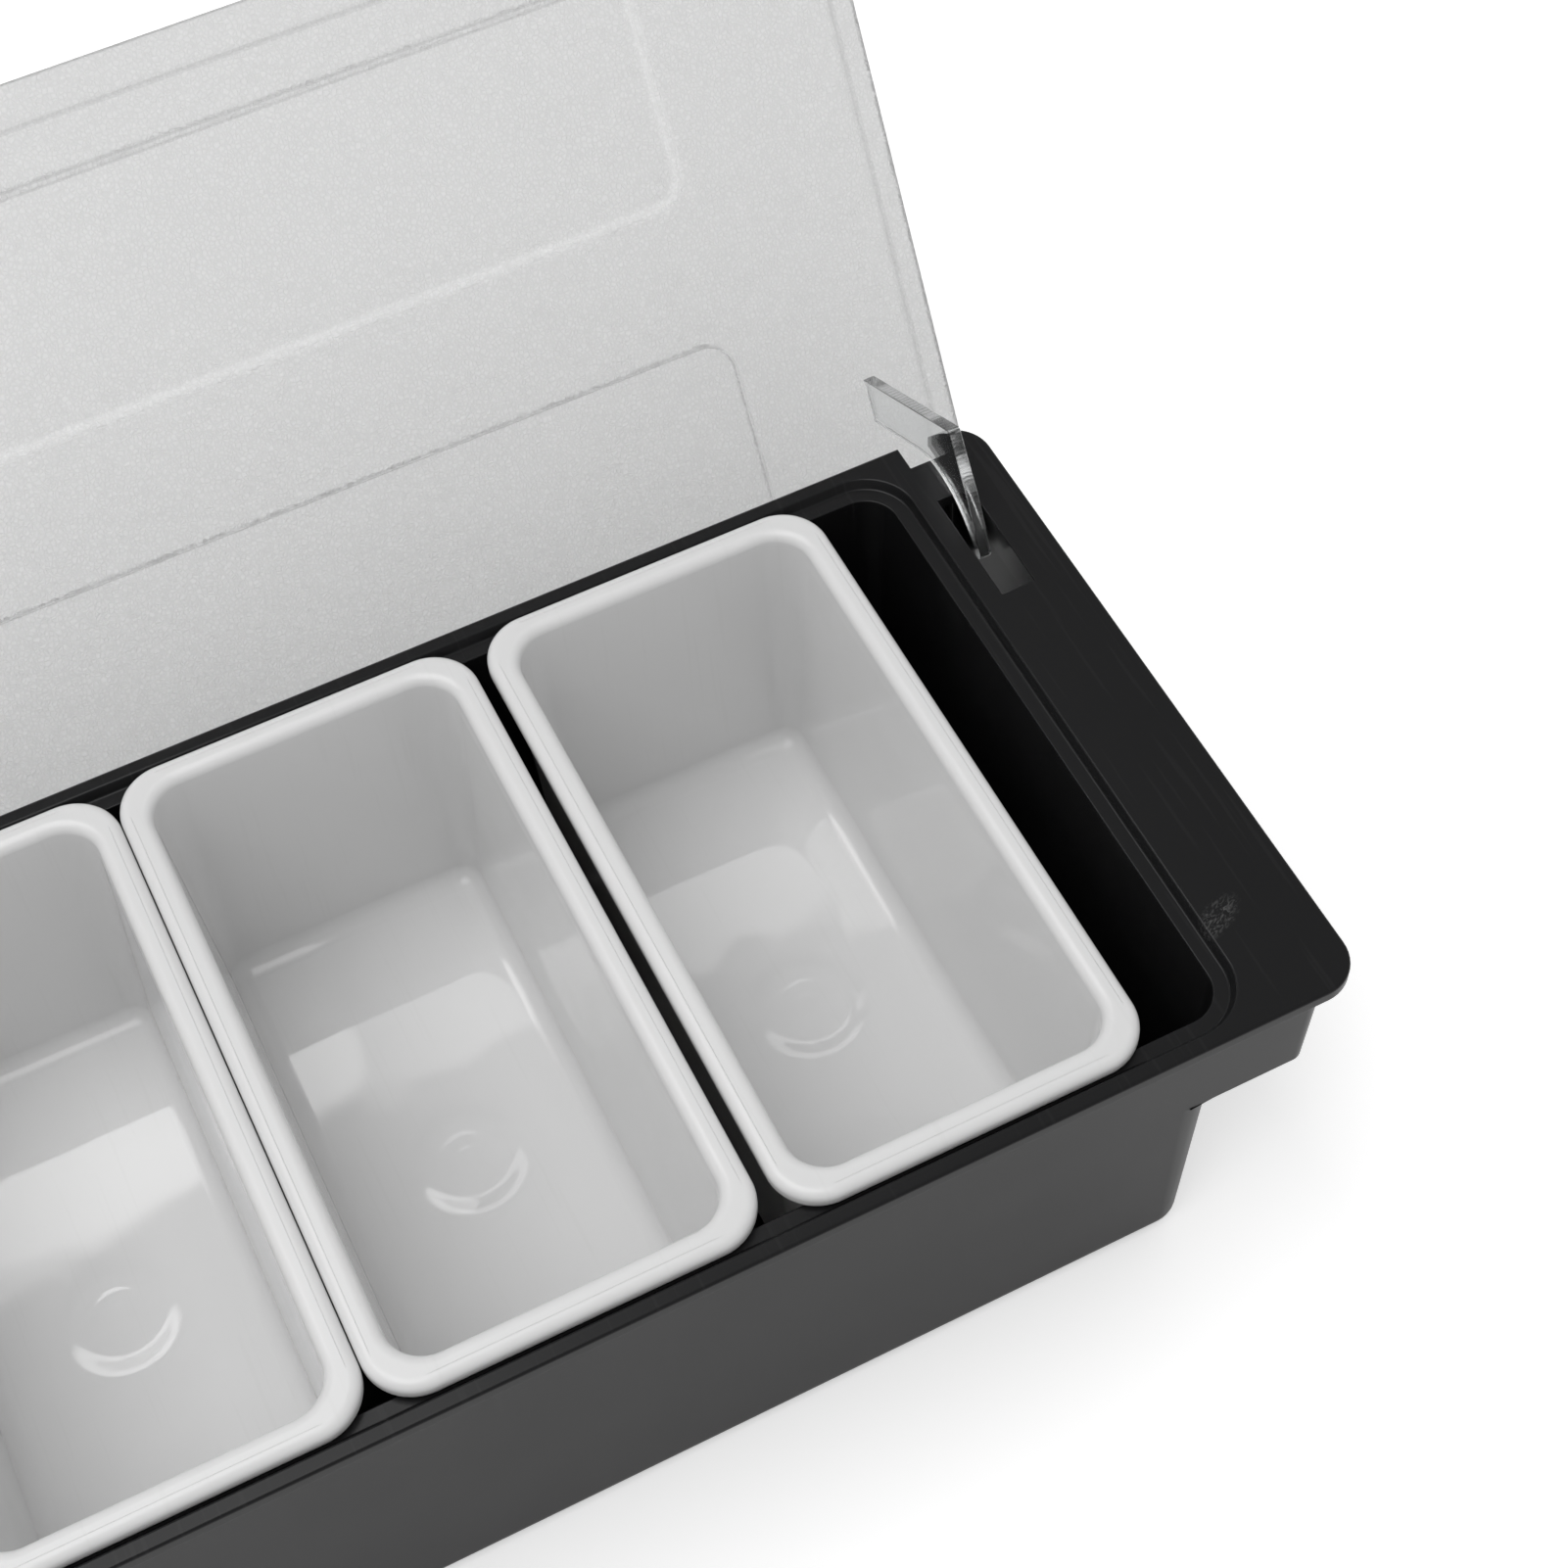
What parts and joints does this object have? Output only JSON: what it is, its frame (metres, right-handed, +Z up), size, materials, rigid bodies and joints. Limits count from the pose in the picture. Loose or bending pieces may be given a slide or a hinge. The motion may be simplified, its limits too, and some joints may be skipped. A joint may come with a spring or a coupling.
{
  "type": "condiment caddy",
  "caption": "Long black bar-top caddy with white lift-out condiment inserts on a ledge and a clear lid that swings back on hook hinges.",
  "frame": {"origin": "centre of the tub's flat underside", "axes": "+X along the caddy to its right end, +Y to the rear where the lid hinges, +Z up"},
  "size_m": [0.5168, 0.2328, 0.1866],
  "materials": {
    "tray_black": "satin moulded black plastic, fine scuffs on the wings",
    "lid_clear": "clear plastic sheet with a fine grained face, frosted look",
    "hook_clear": "clear cast plate with polished and sawn edges",
    "insert_white": "smooth glossy white moulded plastic"
  },
  "bodies": {
    "tub": {"tray": "tray_black"},
    "lid": {"lid_panel": "lid_clear", "hook_left": "hook_clear", "hook_right": "hook_clear"},
    "pan_1": {"insert_1": "insert_white"},
    "pan_2": {"insert_2": "insert_white"},
    "pan_3": {"insert_3": "insert_white"},
    "pan_4": {"insert_4": "insert_white"},
    "pan_5": {"insert_5": "insert_white"},
    "pan_6": {"insert_6": "insert_white"}
  },
  "joints": [
    {"name": "lid_hinge", "type": "hinge", "parent": "tub", "child": "lid", "pos_m": [0, 0.0645, 0.073], "axis": [-1, 0, 0], "range_deg": [-120, 0]},
    {"name": "insert_1_lift", "type": "slide", "parent": "tub", "child": "pan_1", "axis": [0, 0, 1], "range_m": [0, 0.1]},
    {"name": "insert_2_lift", "type": "slide", "parent": "tub", "child": "pan_2", "axis": [0, 0, 1], "range_m": [0, 0.1]},
    {"name": "insert_3_lift", "type": "slide", "parent": "tub", "child": "pan_3", "axis": [0, 0, 1], "range_m": [0, 0.1]},
    {"name": "insert_4_lift", "type": "slide", "parent": "tub", "child": "pan_4", "axis": [0, 0, 1], "range_m": [0, 0.1]},
    {"name": "insert_5_lift", "type": "slide", "parent": "tub", "child": "pan_5", "axis": [0, 0, 1], "range_m": [0, 0.1]},
    {"name": "insert_6_lift", "type": "slide", "parent": "tub", "child": "pan_6", "axis": [0, 0, 1], "range_m": [0, 0.1]}
  ]
}
